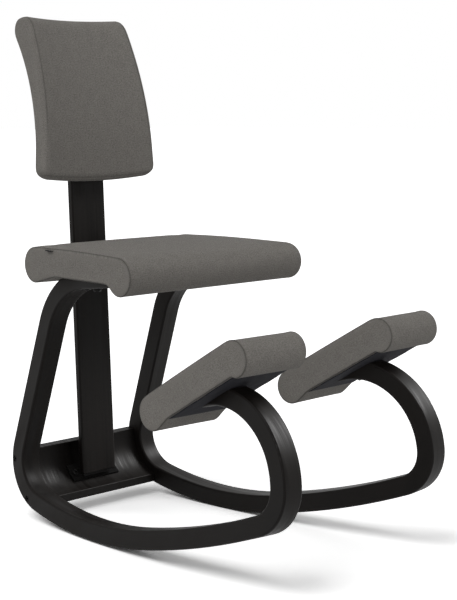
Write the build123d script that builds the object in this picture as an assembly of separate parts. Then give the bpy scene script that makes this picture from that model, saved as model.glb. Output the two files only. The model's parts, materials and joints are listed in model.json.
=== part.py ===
"""Rocking kneeling chair with a back rest.

The sitter faces -Y and Z is up. Two bent laminated runners carry a seat at their rear ends and a knee
pad at each front end. A bent cross panel ties the runners together behind, and a slat rises from it to
the back pad. Side outlines are drawn as (u, z): u runs forward from the line on which the runners rest.
"""

import os
from math import atan, cos, degrees, radians, sin, sqrt

from build123d import *

# Driving dimensions, in millimetres and degrees.

# Runner section and stance
RUNNER_WIDTH = 38.0
RUNNER_THICKNESS = 33.0
RUNNER_EDGE_ROUND = 3.5
RUNNER_HALF_TRACK = 157.0
RUNNER_SPLAY = 3.3
RUNNER_LEAN = 2.0

# Runner centre line, from the seat end round to the knee pad end
SEAT_RUN = 88.0
SEAT_BEND_RADIUS = 125.0
SEAT_BEND_TURN = 65.8
LEG_RUN = 241.0
REAR_BEND_RADIUS = 75.0
REAR_BEND_TURN = 94.6
ROCKER_RADIUS = 692.0
ROCKER_REAR_TURN = 13.4
ROCKER_FRONT_TURN = 10.8
TOE_RADIUS = 1580.0
TOE_TURN = 10.8
FRONT_BEND_RADIUS = 64.5
FRONT_BEND_TURN = 73.3
UPRIGHT_RADIUS = 131.5
UPRIGHT_TURN = 102.8
PAD_RUN = 60.0

# Cross panel, a ring sector in the rear bend
PANEL_THICKNESS = 17.0
PANEL_OUTER_RECESS = 0.8
PANEL_EDGE_ROUND = 1.5
PANEL_FIRST_ANGLE = 262.0
PANEL_LAST_ANGLE = 344.0
PANEL_BOLT_ANGLES = (272.7, 329.2)

# Back slat and its foot bracket
POST_WIDTH = 78.0
POST_THICKNESS = 12.5
POST_LEAN = 2.65
POST_EDGE_ROUND = 3.0
POST_TOP_ROUND = 16.0
POST_BEHIND_BEND = 33.3
POST_FOOT_DROP = 46.0
BRACKET_THICKNESS = 3.5
BRACKET_FLANGE_WIDTH = 108.0
BRACKET_TONGUE_WIDTH = 56.0
BRACKET_TONGUE_HEIGHT = 62.0
BRACKET_MID_ANGLE = 310.0
BRACKET_SPAN_ANGLE = 28.0
BRACKET_SCREW_SPACING = 86.0
POST_BOLT_LOW = 26.0
POST_BOLT_HIGH = 48.0

# Seat
SEAT_WIDTH = 411.5
SEAT_REAR_WIDTH = 362.0
SEAT_REAR = 162.0
SEAT_FRONT = 144.3
SEAT_FACE_RISE = 2.4
SEAT_REAR_ROLL = 32.4
SEAT_REAR_DROP = 14.6
SEAT_FRONT_ROLL = 33.0
SEAT_FRONT_DROP = 17.2
SEAT_FLAT_REAR = 69.0
SEAT_FLAT_FRONT = 80.0
SEAT_CROWN = 6.0
SEAT_SEAM_ROUND = 3.0
SEAT_SEAM_BAND = 7.0
SEAT_PLATE_THICKNESS = 12.0
SEAT_PLATE_MARGIN = 12.0
SEAT_PLATE_ROLL_MARGIN = 26.0
SEAT_BOLT_REAR = 44.0
SEAT_BOLT_FRONT = 14.0
SEAT_BOLT_GRIP = 16.0
SEAT_NOTCH_REAR = 99.0
SEAT_NOTCH_MARGIN = 5.0

# Knee pads
PAD_LENGTH = 275.0
PAD_WIDTH = 130.0
PAD_SLOPE = 30.3
PAD_SPLAY = 2.0
PAD_HALF_TRACK = 162.0
PAD_BEYOND_UPRIGHT = 29.4
PAD_FACE_RISE = -13.6
PAD_ROLL = 30.2
PAD_ROLL_DROP = 7.0
PAD_FLAT_REAR = 62.0
PAD_FLAT_FRONT = 232.0
PAD_CROWN = 2.5
PAD_SEAM_ROUND = 2.5
PAD_SEAM_BAND = 6.0
PAD_PLATE_THICKNESS = 10.0
PAD_PLATE_MARGIN = 5.0
PAD_PLATE_END_MARGIN = 34.0
PAD_BOLT_REAR = 131.0
PAD_BOLT_FRONT = 159.0
PAD_BOLT_GRIP = 9.0

# Back pad
BACK_BOTTOM_HEIGHT = 607.0
BACK_STRAIGHT = 50.0
BACK_RADIUS = 365.0
BACK_ARC_TURN = 35.8
BACK_BOTTOM_WIDTH = 267.0
BACK_TOP_WIDTH = 234.0
BACK_HOLLOW = 11.0
BACK_BOTTOM_THICKNESS = 29.0
BACK_TOP_THICKNESS = 46.0
BACK_BOTTOM_ROUND = 13.0
BACK_TOP_ROUND = 21.0
BACK_BOTTOM_CORNER = 13.0
BACK_TOP_CORNER = 9.0
BACK_SIDE_CROWN = 2.0
BACK_SHELL_THICKNESS = 9.0
BACK_SHELL_MARGIN = 11.0
BACK_SHELL_COVER = 3.0
BACK_SHELL_CROWN = 0.5
BACK_BOLT_LOW = 18.0
BACK_BOLT_HIGH = 48.0
BACK_NUT_LENGTH = 7.0
BACK_NUT_SINK = 0.6
POST_TOP_RISE = 66.0
BACK_GAP = 0.6

# Steps of the upholstered forms
SEAM_STEPS = 4
CROWN_STEPS = 4
CROWN_FALL = 0.7
BACK_STEPS = 10
CORNER_STEPS = 6

# Dust covers, seam tag and fasteners
DUST_COVER_THICKNESS = 1.0
TAG_LENGTH = 17.0
TAG_THICKNESS = 1.4
TAG_DEPTH = 10.0
TAG_SHOWS = 5.0
TAG_FROM_REAR = 83.0
BOLT_DIAMETER = 8.0
BOLT_HEAD_DIAMETER = 14.0
BOLT_HEAD_HEIGHT = 4.4
BOLT_KEY_SIZE = 5.0
BOLT_KEY_DEPTH = 2.5
WASHER_DIAMETER = 19.0
WASHER_THICKNESS = 1.6
NUT_DIAMETER = 10.5
NUT_FLANGE_DIAMETER = 18.0
NUT_FLANGE_THICKNESS = 1.5
INSERT_LENGTH = 20.0
POST_INSERT_LENGTH = 8.0
BOLT_END_ROOM = 1.0
SCREW_DIAMETER = 5.0
SCREW_HEAD_DIAMETER = 11.0
SCREW_HEAD_HEIGHT = 3.4
SCREW_LENGTH = 16.0
PANEL_BOLT_SINK = 4.2
PANEL_BOLT_DIAMETER = 6.0
PANEL_BOLT_HEAD = 10.0
PANEL_BOLT_HEAD_HEIGHT = 3.3
PANEL_INSERT_DIAMETER = 9.0
HEAD_ROOM = 0.6
FIT_CLEARANCE = 0.2

# Values worked out from the driving dimensions.
HALF_THICKNESS = RUNNER_THICKNESS / 2
HALF_WIDTH = RUNNER_WIDTH / 2
REAR_LEGS = [
    (SEAT_RUN, 0),
    (SEAT_BEND_RADIUS, SEAT_BEND_TURN),
    (LEG_RUN, 0),
    (REAR_BEND_RADIUS, REAR_BEND_TURN),
    (ROCKER_RADIUS, ROCKER_REAR_TURN),
]
FRONT_LEGS = [
    (ROCKER_RADIUS, ROCKER_FRONT_TURN),
    (TOE_RADIUS, TOE_TURN),
    (FRONT_BEND_RADIUS, FRONT_BEND_TURN),
    (UPRIGHT_RADIUS, UPRIGHT_TURN),
    (PAD_RUN, 0),
]
SIDE_PLANE = Plane(origin=(0, 0, 0), x_dir=(0, -1, 0), z_dir=(-1, 0, 0))


def advance(station, leg, share=1.0):
    """Return the station (u, z, heading) a share of the way along a straight run or an arc."""
    u, z, heading = station
    size, turn = leg
    angle = radians(heading)
    if turn == 0:
        return u + share * size * cos(angle), z + share * size * sin(angle), heading
    radius = size if turn > 0 else -size
    end = radians(heading + share * turn)
    return u + radius * (sin(end) - sin(angle)), z - radius * (cos(end) - cos(angle)), heading + share * turn


def runner_stations():
    """Walk back from the rest line to the seat end, then forward along the whole centre line."""
    station = (0.0, HALF_THICKNESS, 180.0)
    for size, turn in reversed(REAR_LEGS):
        station = advance(station, (size, -turn))
    stations = [(station[0], station[1], station[2] + 180)]
    for leg in REAR_LEGS + FRONT_LEGS:
        stations.append(advance(stations[-1], leg))
    return stations


STATIONS = runner_stations()
SEAT_BEND_START = STATIONS[1]
LEG_END = STATIONS[3]
UPRIGHT_END = STATIONS[9]
SEAT_FACE = SEAT_BEND_START[1] + SEAT_FACE_RISE
BEND_CENTRE_U = LEG_END[0] - REAR_BEND_RADIUS * sin(radians(LEG_END[2]))
BEND_CENTRE_Z = LEG_END[1] + REAR_BEND_RADIUS * cos(radians(LEG_END[2]))
PANEL_OUTER_RADIUS = REAR_BEND_RADIUS + HALF_THICKNESS - PANEL_OUTER_RECESS
PANEL_INNER_RADIUS = PANEL_OUTER_RADIUS - PANEL_THICKNESS
PANEL_MID_RADIUS = PANEL_OUTER_RADIUS - PANEL_THICKNESS / 2


def bend_point(radius, angle):
    """Return the (u, z) point of the rear bend at a radius and a heading angle."""
    turn = radians(angle)
    return BEND_CENTRE_U + radius * sin(turn), BEND_CENTRE_Z - radius * cos(turn)


def side_step(station, offset):
    """Return the point beside a station, to the left of its heading."""
    u, z, heading = station
    angle = radians(heading)
    return u - offset * sin(angle), z + offset * cos(angle)


def offset_edges(offset):
    """Return the runner's centre line moved sideways, as tangent lines and arcs."""
    edges = []
    for start, end, leg in zip(STATIONS, STATIONS[1:], REAR_LEGS + FRONT_LEGS):
        first, last = side_step(start, offset), side_step(end, offset)
        if leg[1] == 0:
            edges.append(Line(first, last))
        else:
            edges.append(ThreePointArc(first, side_step(advance(start, leg, 0.5), offset), last))
    return edges


def closed_face(edges):
    """Return the flat face inside a closed ring of edges."""
    return Face(Wire(edges))


def ring_sector(inner, outer, first, last):
    """Return the (u, z) face of a sector about the rear bend's centre."""
    middle = (first + last) / 2
    return closed_face([
        ThreePointArc(*[bend_point(inner, angle) for angle in (first, middle, last)]),
        Line(bend_point(inner, last), bend_point(outer, last)),
        ThreePointArc(*[bend_point(outer, angle) for angle in (last, middle, first)]),
        Line(bend_point(outer, first), bend_point(inner, first)),
    ])


def from_side(face, width):
    """Extrude a (u, z) face evenly to both sides of the middle plane."""
    return extrude(SIDE_PLANE * face, amount=width / 2, both=True)


# Placing planes of the left runner, the left knee pad and the back slat.


def runner_plane():
    """Return the leaning, splayed plane of the left runner, local x forward and local y up."""
    splay, lean = radians(RUNNER_SPLAY), radians(RUNNER_LEAN)
    outward = Vector(cos(splay), sin(splay), 0)
    normal = outward * -cos(lean) - Vector(0, 0, sin(lean))
    return Plane(origin=(RUNNER_HALF_TRACK, 0, 0), x_dir=(sin(splay), -cos(splay), 0), z_dir=normal)


def pad_plane():
    """Return the plane of the left pad's underside: local x up the slope, z out of the top."""
    slope, splay = radians(PAD_SLOPE), radians(PAD_SPLAY)
    along = Vector(sin(splay) * cos(slope), -cos(splay) * cos(slope), sin(slope))
    normal = Vector(-sin(splay) * sin(slope), cos(splay) * sin(slope), cos(slope))
    middle = Vector(PAD_HALF_TRACK, -UPRIGHT_END[0], UPRIGHT_END[1]) + normal * PAD_FACE_RISE
    return Plane(origin=middle + along * (PAD_BEYOND_UPRIGHT - PAD_LENGTH / 2), x_dir=along, z_dir=normal)


def post_plane():
    """Return the plane of the slat's front face at its foot: local x across, y up, z forward."""
    lean = radians(POST_LEAN)
    foot = (0, POST_BEHIND_BEND - BEND_CENTRE_U, BEND_CENTRE_Z - POST_FOOT_DROP)
    return Plane(origin=foot, x_dir=(1, 0, 0), z_dir=(0, -cos(lean), sin(lean)))


RUNNER_PLANE = runner_plane()
PAD_PLANE = pad_plane()
POST_PLANE = post_plane()
POST_COS = cos(radians(POST_LEAN))
BACK_START_RISE = (BACK_BOTTOM_HEIGHT - POST_PLANE.origin.Z) / POST_COS
POST_LENGTH = BACK_START_RISE + POST_TOP_RISE


def mirrored(solid):
    """Return the right-hand twin of a left-hand solid."""
    return mirror(solid, about=Plane.YZ)


def both_sides(solids):
    """Return left-hand solids followed by their right-hand twins."""
    return solids + [mirrored(solid) for solid in solids]


# Fasteners, each drawn along +Z with its head or flange under z = 0.


def round_bar(diameter, low, high):
    """Return a round bar along Z between two heights."""
    return Pos(0, 0, low) * Cylinder(diameter / 2, high - low, align=(Align.CENTER, Align.CENTER, Align.MIN))


def button_bolt(length, diameter=BOLT_DIAMETER, head=BOLT_HEAD_DIAMETER, height=BOLT_HEAD_HEIGHT):
    """Return a round-headed bolt with a hexagon socket."""
    dome = round_bar(head, -height, 0)
    dome = fillet(dome.edges().group_by(Axis.Z)[0], height * 0.6)
    socket = extrude(RegularPolygon(BOLT_KEY_SIZE / 2, 6, major_radius=False), amount=BOLT_KEY_DEPTH)
    return dome + round_bar(diameter, 0, length) - Pos(0, 0, -height) * socket


def washer():
    """Return a plain washer lying on z = 0."""
    return round_bar(WASHER_DIAMETER, 0, WASHER_THICKNESS) - bolt_hole(0, WASHER_THICKNESS)


def bolt_hole(low, high, diameter=BOLT_DIAMETER):
    """Return the clearance bar for a bolt's shank."""
    return round_bar(diameter + 2 * FIT_CLEARANCE, low, high)


def tee_nut(length):
    """Return a flanged nut whose flange tops z = 0 and whose barrel hangs below."""
    barrel = round_bar(NUT_DIAMETER, -length, 0)
    flange = round_bar(NUT_FLANGE_DIAMETER, -NUT_FLANGE_THICKNESS, 0)
    return barrel + flange - bolt_hole(-length, 0)


def tee_nut_seat(length):
    """Return the stepped hole that takes a flanged nut."""
    barrel = round_bar(NUT_DIAMETER + 2 * FIT_CLEARANCE, -length, 0)
    flange = round_bar(NUT_FLANGE_DIAMETER + 2 * FIT_CLEARANCE, -NUT_FLANGE_THICKNESS, 0)
    return barrel + flange


def insert_nut(length, diameter=NUT_DIAMETER, bolt=BOLT_DIAMETER):
    """Return a threaded sleeve between z = 0 and its length."""
    return round_bar(diameter, 0, length) - bolt_hole(0, length, bolt)


def insert_seat(length, diameter=NUT_DIAMETER, bolt=BOLT_DIAMETER):
    """Return the blind hole that takes a threaded sleeve, with room for the bolt's end."""
    return round_bar(diameter + 2 * FIT_CLEARANCE, 0, length) + bolt_hole(0, length + BOLT_END_ROOM, bolt)


def spot_face(depth, diameter=WASHER_DIAMETER):
    """Return the round recess below a bolt's washer or head."""
    return round_bar(diameter + 2 * HEAD_ROOM, -depth, 0)


# Places of the fasteners on the left side, or on the middle plane.


def seat_bolt_places():
    """Return the places where washers lie under the left runner's seat end, axis up."""
    places = []
    for behind_rest in (SEAT_BOLT_REAR, SEAT_BOLT_FRONT):
        on_runner = RUNNER_PLANE.from_local_coords(Vector(-behind_rest, SEAT_FACE, 0))
        places.append(Pos(on_runner.X, on_runner.Y, SEAT_FACE - SEAT_BOLT_GRIP))
    return places


def pad_bolt_places():
    """Return the places where washers lie under the left runner's pad end, axis out of the pad."""
    stations = (PAD_BOLT_REAR, PAD_BOLT_FRONT)
    return [PAD_PLANE.location * Pos(station, 0, -PAD_BOLT_GRIP) for station in stations]


def panel_bolt_places():
    """Return the places of the bolt heads' seats in the left runner's outer side, axis inward."""
    places = []
    for angle in PANEL_BOLT_ANGLES:
        u, z = bend_point(PANEL_MID_RADIUS, angle)
        places.append(RUNNER_PLANE.location * Pos(u, z, PANEL_BOLT_SINK - HALF_WIDTH))
    return places


def post_places(*rises):
    """Return places on the slat's rear face at heights above its foot, axis forward."""
    return [POST_PLANE.location * Pos(0, rise, -POST_THICKNESS) for rise in rises]


def foot_bolt_places():
    """Return the places of the bolts in the slat's foot."""
    return post_places(POST_BOLT_LOW, POST_BOLT_HIGH)


def back_bolt_places():
    """Return the places of the back pad's bolts on the slat's rear face."""
    return post_places(BACK_START_RISE + BACK_BOLT_LOW, BACK_START_RISE + BACK_BOLT_HIGH)


def bracket_screw_places():
    """Return the places of the bracket's screws, axis into the panel."""
    u, z = bend_point(PANEL_INNER_RADIUS - BRACKET_THICKNESS - FIT_CLEARANCE, BRACKET_MID_ANGLE)
    turn = radians(BRACKET_MID_ANGLE)
    into_panel = (0, -sin(turn), -cos(turn))
    half = BRACKET_SCREW_SPACING / 2
    return [Plane(origin=(x, -u, z), z_dir=into_panel).location for x in (-half, half)]


SEAT_BOLT_LENGTH = SEAT_BOLT_GRIP + DUST_COVER_THICKNESS + SEAT_PLATE_THICKNESS
PAD_BOLT_LENGTH = PAD_BOLT_GRIP + DUST_COVER_THICKNESS + PAD_PLATE_THICKNESS
PANEL_BOLT_REACH = RUNNER_WIDTH - PANEL_BOLT_SINK
POST_BOLT_LENGTH = BRACKET_THICKNESS + POST_INSERT_LENGTH
BACK_BOLT_LENGTH = POST_THICKNESS + BACK_GAP + BACK_SHELL_COVER + BACK_SHELL_THICKNESS - BACK_NUT_SINK


# Laminated wood


def make_runner():
    """Return the left runner: a bent strip cut flat under the seat and under the knee pad."""
    inner, outer = offset_edges(HALF_THICKNESS), offset_edges(-HALF_THICKNESS)
    ends = [
        Line(side_step(STATIONS[-1], HALF_THICKNESS), side_step(STATIONS[-1], -HALF_THICKNESS)),
        Line(side_step(STATIONS[0], -HALF_THICKNESS), side_step(STATIONS[0], HALF_THICKNESS)),
    ]
    strip = extrude(RUNNER_PLANE * closed_face(inner + outer + ends), amount=HALF_WIDTH, both=True)
    side_faces = strip.faces().sort_by(lambda face: face.area)[-2:]
    long_edges = [edge for face in side_faces for edge in face.edges() if not on_end(edge)]
    strip = fillet(long_edges, RUNNER_EDGE_ROUND)
    strip -= SEAT_LOCATION * slab(-SEAT_REAR, SEAT_FRONT, SEAT_WIDTH, 0, RUNNER_THICKNESS)
    strip -= PAD_PLANE.location * slab(0, PAD_LENGTH, PAD_WIDTH, 0, 2 * RUNNER_THICKNESS)
    for place in seat_bolt_places():
        strip -= place * (bolt_hole(0, SEAT_BOLT_LENGTH) + spot_face(RUNNER_THICKNESS))
    for place in pad_bolt_places():
        strip -= place * (bolt_hole(0, PAD_BOLT_LENGTH) + spot_face(RUNNER_THICKNESS))
    for place in panel_bolt_places():
        strip -= place * bolt_hole(0, RUNNER_WIDTH, PANEL_BOLT_DIAMETER)
        strip -= place * spot_face(RUNNER_WIDTH, PANEL_BOLT_HEAD)
    return strip


def on_end(edge):
    """Tell whether an edge lies across one of the strip's two square ends."""
    return edge.geom_type == GeomType.LINE and abs(edge.length - RUNNER_THICKNESS) < FIT_CLEARANCE


def make_cross_panel():
    """Return the bent panel between the runners, trimmed to their inner sides."""
    sector = ring_sector(PANEL_INNER_RADIUS, PANEL_OUTER_RADIUS, PANEL_FIRST_ANGLE, PANEL_LAST_ANGLE)
    panel = from_side(sector, 2 * RUNNER_HALF_TRACK)
    panel = fillet(panel.edges().filter_by(Axis.X), PANEL_EDGE_ROUND)
    reach = 4 * RUNNER_HALF_TRACK
    beyond = Pos(0, 0, HALF_WIDTH) * Box(reach, reach, reach, align=(Align.CENTER, Align.CENTER, Align.MAX))
    trim = RUNNER_PLANE.location * beyond
    panel = panel - trim - mirrored(trim)
    for place in panel_bolt_places():
        seat = insert_seat(INSERT_LENGTH, PANEL_INSERT_DIAMETER, PANEL_BOLT_DIAMETER)
        seat = place * Pos(0, 0, PANEL_BOLT_REACH) * seat
        panel = panel - seat - mirrored(seat)
    for place in bracket_screw_places():
        panel -= place * round_bar(SCREW_DIAMETER, 0, SCREW_LENGTH + SCREW_DIAMETER)
    return panel


def make_back_post():
    """Return the slat that rises from the cross panel to the back pad."""
    outline = Pos(0, POST_LENGTH / 2) * Rectangle(POST_WIDTH, POST_LENGTH)
    outline = fillet(outline.vertices().group_by(Axis.Y)[-1], POST_TOP_ROUND)
    slat = extrude(outline, amount=-POST_THICKNESS)
    slat = POST_PLANE * fillet(slat.edges(), POST_EDGE_ROUND)
    for place in foot_bolt_places():
        slat -= place * insert_seat(POST_INSERT_LENGTH)
    for place in back_bolt_places():
        slat -= place * bolt_hole(-1, POST_THICKNESS + 1)
    return slat


# Steel foot of the slat


def make_foot_bracket():
    """Return the bent steel foot: a flange on the panel and a tongue behind the slat."""
    half_span = BRACKET_SPAN_ANGLE / 2
    outer = PANEL_INNER_RADIUS - FIT_CLEARANCE
    sector = ring_sector(outer - BRACKET_THICKNESS, outer,
                         BRACKET_MID_ANGLE - half_span, BRACKET_MID_ANGLE + half_span)
    flange = from_side(sector, BRACKET_FLANGE_WIDTH)
    tongue = Box(BRACKET_TONGUE_WIDTH, BRACKET_TONGUE_HEIGHT + PANEL_THICKNESS, BRACKET_THICKNESS,
                 align=(Align.CENTER, Align.MIN, Align.MAX))
    tongue = POST_PLANE.location * Pos(0, -PANEL_THICKNESS, -POST_THICKNESS) * tongue
    panel_room = ring_sector(outer, PANEL_OUTER_RADIUS, PANEL_FIRST_ANGLE, PANEL_LAST_ANGLE)
    bracket = flange + tongue - from_side(panel_room, BRACKET_FLANGE_WIDTH)
    for place in foot_bolt_places():
        bracket -= place * bolt_hole(-2 * BRACKET_THICKNESS, 1)
    for place in bracket_screw_places():
        bracket -= place * round_bar(SCREW_DIAMETER + 2 * FIT_CLEARANCE, 0, 2 * BRACKET_THICKNESS)
        bracket -= place * round_bar(SCREW_HEAD_DIAMETER + 2 * FIT_CLEARANCE, -SCREW_HEAD_HEIGHT, 0)
    return bracket


# Seat


def roll_point(centre, radius, angle):
    """Return a point of a cushion's rolled end."""
    return centre[0] + radius * cos(radians(angle)), centre[1] + radius * sin(radians(angle))


def cushion_outline(rear, front, inset, crown):
    """Return a cushion's side outline on its underside line: two rolled ends and a recessed flat.

    Each end is (end of roll, roll radius, drop below the flat, end of the flat).
    """
    (rear_end, rear_roll, rear_drop, flat_rear) = rear
    (front_end, front_roll, front_drop, flat_front) = front
    back_centre = (rear_end + rear_roll, rear_roll - rear_drop)
    nose_centre = (front_end - front_roll, front_roll - front_drop)
    back, nose = rear_roll - inset, front_roll - inset
    top_rear, top_front = roll_point(back_centre, back, 90), roll_point(nose_centre, nose, 90)
    tail, hip = roll_point(back_centre, back, 180), roll_point(back_centre, back, 270)
    chin, tip = roll_point(nose_centre, nose, 245), roll_point(nose_centre, nose, 0)
    top_middle = ((top_rear[0] + top_front[0]) / 2, (top_rear[1] + top_front[1]) / 2 + crown)
    return closed_face([
        ThreePointArc(top_rear, roll_point(back_centre, back, 135), tail),
        ThreePointArc(tail, roll_point(back_centre, back, 225), hip),
        Line(hip, (flat_rear, inset)),
        Line((flat_rear, inset), (flat_front, inset)),
        Line((flat_front, inset), chin),
        ThreePointArc(chin, roll_point(nose_centre, nose, 300), tip),
        ThreePointArc(tip, roll_point(nose_centre, nose, 45), top_front),
        ThreePointArc(top_front, top_middle, top_rear),
    ])


def crowned_cushion(rear, front, width, narrowing, seam_round, seam_band, crown):
    """Loft a cushion across its width: full in the middle, drawn in at the side seams.

    The width is that of the front end. Each side draws in by the narrowing for each unit of length.
    """
    half = width / 2
    stations = []
    for step in range(SEAM_STEPS):
        angle = radians(90 * step / SEAM_STEPS)
        stations.append((half - seam_band * (1 - cos(angle)), seam_round * (1 - sin(angle))))
    for step in range(CROWN_STEPS):
        stations.append(((half - seam_band) * (1 - step / CROWN_STEPS), 0))
    stations += [(0, 0)] + [(-place, inset) for place, inset in reversed(stations)]
    sections = []
    for place, inset in stations:
        share = place / half
        angle = atan(narrowing * share)
        rise = crown * (1 - CROWN_FALL * share ** 2)
        section = cushion_outline(lengthened(rear, angle), lengthened(front, angle), inset, rise)
        start = (0, place - narrowing * share * front[0], 0)
        across = Plane(origin=start, x_dir=(cos(angle), sin(angle), 0), z_dir=(sin(angle), -cos(angle), 0))
        sections.append(across * section)
    return loft(sections, ruled=True)


def lengthened(end, angle):
    """Return a cushion's end as it lies in a section turned by an angle."""
    place, roll, drop, flat = end
    return place / cos(angle), roll, drop, flat / cos(angle)


SEAT_LOCATION = Plane(origin=(0, 0, SEAT_FACE), x_dir=(0, -1, 0), z_dir=(0, 0, 1)).location
SEAT_PLATE_REAR = -SEAT_REAR + SEAT_PLATE_ROLL_MARGIN
SEAT_PLATE_FRONT = SEAT_FRONT - SEAT_PLATE_ROLL_MARGIN
SEAT_NARROWING = (SEAT_WIDTH - SEAT_REAR_WIDTH) / 2 / (SEAT_REAR + SEAT_FRONT)
PAD_PLATE_WIDTH = PAD_WIDTH - 2 * PAD_PLATE_MARGIN
PAD_PLATE_REAR = PAD_PLATE_END_MARGIN
PAD_PLATE_FRONT = PAD_LENGTH - PAD_PLATE_END_MARGIN


def slab(rear, front, width, low, high):
    """Return a board lying between two heights, local x forward."""
    board = Box(front - rear, width, high - low, align=(Align.MIN, Align.CENTER, Align.MIN))
    return Pos(rear, 0, low) * board


def seat_half_width(place):
    """Return half the seat's width at a place ahead of the rest line."""
    return SEAT_WIDTH / 2 - SEAT_NARROWING * (SEAT_FRONT - place)


def seat_slab(rear, front, low, high, gap=0.0):
    """Return a board that keeps a margin to the seat's tapering sides."""
    wide, narrow = [seat_half_width(place) - SEAT_PLATE_MARGIN + gap for place in (front, rear)]
    outline = Polygon((rear, -narrow), (front, -wide), (front, wide), (rear, narrow), align=None)
    return Pos(0, 0, low) * extrude(outline, amount=high - low)


def make_seat_cushion():
    """Return the seat cushion, with the room for its board and the slot of its seam tag."""
    cushion = crowned_cushion(
        (-SEAT_REAR, SEAT_REAR_ROLL, SEAT_REAR_DROP, -SEAT_FLAT_REAR),
        (SEAT_FRONT, SEAT_FRONT_ROLL, SEAT_FRONT_DROP, SEAT_FLAT_FRONT),
        SEAT_WIDTH, SEAT_NARROWING, SEAT_SEAM_ROUND, SEAT_SEAM_BAND, SEAT_CROWN)
    gap = FIT_CLEARANCE
    room = seat_slab(SEAT_PLATE_REAR - gap, SEAT_PLATE_FRONT + gap, DUST_COVER_THICKNESS - gap,
                     DUST_COVER_THICKNESS + SEAT_PLATE_THICKNESS + gap, gap)
    room += seat_slab(-SEAT_FLAT_REAR, SEAT_FLAT_FRONT, -1, DUST_COVER_THICKNESS, gap)
    cushion = SEAT_LOCATION * (cushion - room) - seam_tag(FIT_CLEARANCE)
    for notch in both_sides([runner_notch()]):
        cushion -= notch
    return cushion


def runner_notch():
    """Return the room for the left runner's end, under the rear of the seat cushion."""
    notch = slab(-SEAT_NOTCH_REAR, -SEAT_FLAT_REAR, RUNNER_WIDTH + 2 * SEAT_NOTCH_MARGIN,
                 -2 * SEAT_REAR_DROP, DUST_COVER_THICKNESS)
    middle = seat_bolt_places()[0].position
    return Pos(middle.X, 0, 0) * SEAT_LOCATION * notch


def make_seat_plate():
    """Return the seat's plywood board with its nut holes."""
    board = SEAT_LOCATION * seat_slab(SEAT_PLATE_REAR, SEAT_PLATE_FRONT, DUST_COVER_THICKNESS,
                                      DUST_COVER_THICKNESS + SEAT_PLATE_THICKNESS)
    for place in both_sides([place * seat_nut_room() for place in seat_bolt_places()]):
        board -= place
    return board


def seat_nut_room():
    """Return the stepped hole of a seat nut, seen from the washer's place."""
    return Pos(0, 0, SEAT_BOLT_LENGTH) * tee_nut_seat(SEAT_PLATE_THICKNESS)


def pad_nut_room():
    """Return the stepped hole of a pad nut, seen from the washer's place."""
    return Pos(0, 0, PAD_BOLT_LENGTH) * tee_nut_seat(PAD_PLATE_THICKNESS)


def make_seat_dust_cover():
    """Return the cloth under the seat board, with its bolt holes."""
    cover = SEAT_LOCATION * seat_slab(-SEAT_FLAT_REAR + FIT_CLEARANCE, SEAT_FLAT_FRONT - FIT_CLEARANCE,
                                      0, DUST_COVER_THICKNESS)
    for hole in both_sides([place * bolt_hole(0, SEAT_BOLT_LENGTH) for place in seat_bolt_places()]):
        cover -= hole
    return cover


def seam_tag(gap=0.0):
    """Return the plain cloth tag sewn into the right-hand top seam near the rear."""
    top = SEAT_FACE + 2 * SEAT_REAR_ROLL - SEAT_REAR_DROP - SEAT_SEAM_ROUND
    tag = Box(TAG_DEPTH + 2 * gap, TAG_LENGTH + 2 * gap, TAG_THICKNESS + 2 * gap)
    behind_rest = SEAT_REAR - TAG_FROM_REAR
    edge = Pos(-seat_half_width(-behind_rest), behind_rest, top - TAG_THICKNESS)
    return edge * Rot(0, 0, -degrees(atan(SEAT_NARROWING))) * Pos(TAG_DEPTH / 2 - TAG_SHOWS, 0, 0) * tag


# Knee pads


def make_pad_cushion():
    """Return the left knee pad's cushion, with the room for its board."""
    cushion = crowned_cushion(
        (0, PAD_ROLL, PAD_ROLL_DROP, PAD_FLAT_REAR),
        (PAD_LENGTH, PAD_ROLL, PAD_ROLL_DROP, PAD_FLAT_FRONT),
        PAD_WIDTH, 0, PAD_SEAM_ROUND, PAD_SEAM_BAND, PAD_CROWN)
    gap = FIT_CLEARANCE
    width = PAD_PLATE_WIDTH + 2 * gap
    room = slab(PAD_PLATE_REAR - gap, PAD_PLATE_FRONT + gap, width, DUST_COVER_THICKNESS - gap,
                DUST_COVER_THICKNESS + PAD_PLATE_THICKNESS + gap)
    room += slab(PAD_FLAT_REAR, PAD_FLAT_FRONT, width, -1, DUST_COVER_THICKNESS)
    return PAD_PLANE.location * (cushion - room)


def make_pad_plate():
    """Return the left pad's plywood board with its nut holes."""
    board = PAD_PLANE.location * slab(PAD_PLATE_REAR, PAD_PLATE_FRONT, PAD_PLATE_WIDTH, DUST_COVER_THICKNESS,
                                      DUST_COVER_THICKNESS + PAD_PLATE_THICKNESS)
    for place in pad_bolt_places():
        board -= place * pad_nut_room()
    return board


def make_pad_dust_cover():
    """Return the cloth under the left pad's board, with its bolt holes."""
    cover = PAD_PLANE.location * slab(PAD_FLAT_REAR + FIT_CLEARANCE, PAD_FLAT_FRONT - FIT_CLEARANCE,
                                      PAD_PLATE_WIDTH, 0, DUST_COVER_THICKNESS)
    for place in pad_bolt_places():
        cover -= place * bolt_hole(0, PAD_BOLT_LENGTH)
    return cover


# Back pad

BACK_LENGTH = BACK_STRAIGHT + BACK_RADIUS * radians(BACK_ARC_TURN)


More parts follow.
